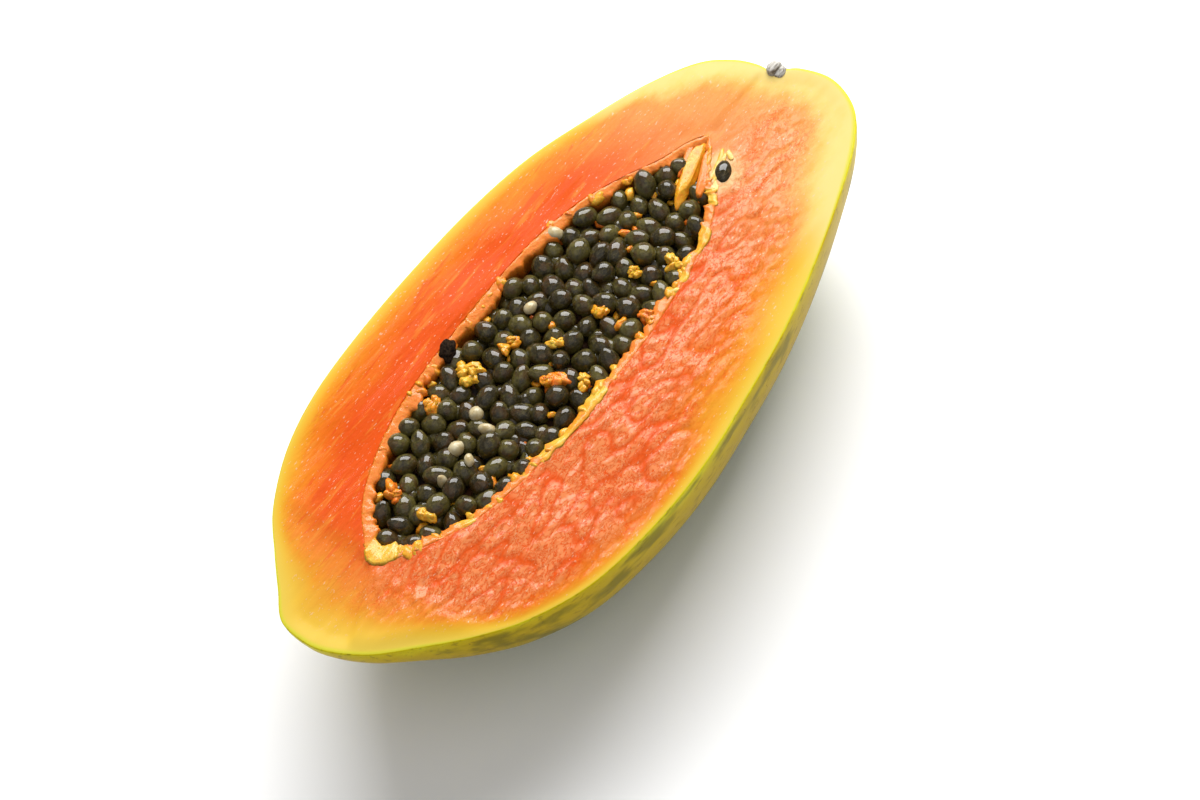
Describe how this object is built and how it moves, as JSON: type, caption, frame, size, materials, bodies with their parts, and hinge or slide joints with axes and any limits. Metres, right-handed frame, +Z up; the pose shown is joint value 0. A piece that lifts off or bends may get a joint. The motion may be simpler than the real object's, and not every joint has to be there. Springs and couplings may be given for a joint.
{
  "type": "papaya half",
  "caption": "Half of a ripe papaya cut lengthwise, resting on its rind with the cut face up: orange flesh, yellow-green rind, pale pulp lining and a hollow packed with dark glossy seeds",
  "frame": {"origin": "under the middle of the fruit's box, on the surface that the fruit lies on", "axes": "+X runs along the fruit to its stem end, +Z is up and is the outward normal of the cut face"},
  "size_m": [0.2194, 0.1078, 0.0501],
  "materials": {
    "fruit": "moist orange-red flesh shading to a yellow band under a thin waxy yellow-green rind",
    "pulp": "wet, pale cream-yellow to orange, fibrous and lumpy",
    "seeds": "wet and glossy, near black with olive translucent zones and a wrinkled jelly skin",
    "scar": "dry, grey-brown and fibrous"
  },
  "bodies": {
    "root": {"fruit_half": "fruit", "pulp_lining": "pulp", "seed_mass": "seeds", "lone_seed": "seeds", "stalk_scar": "scar"}
  },
  "joints": []
}
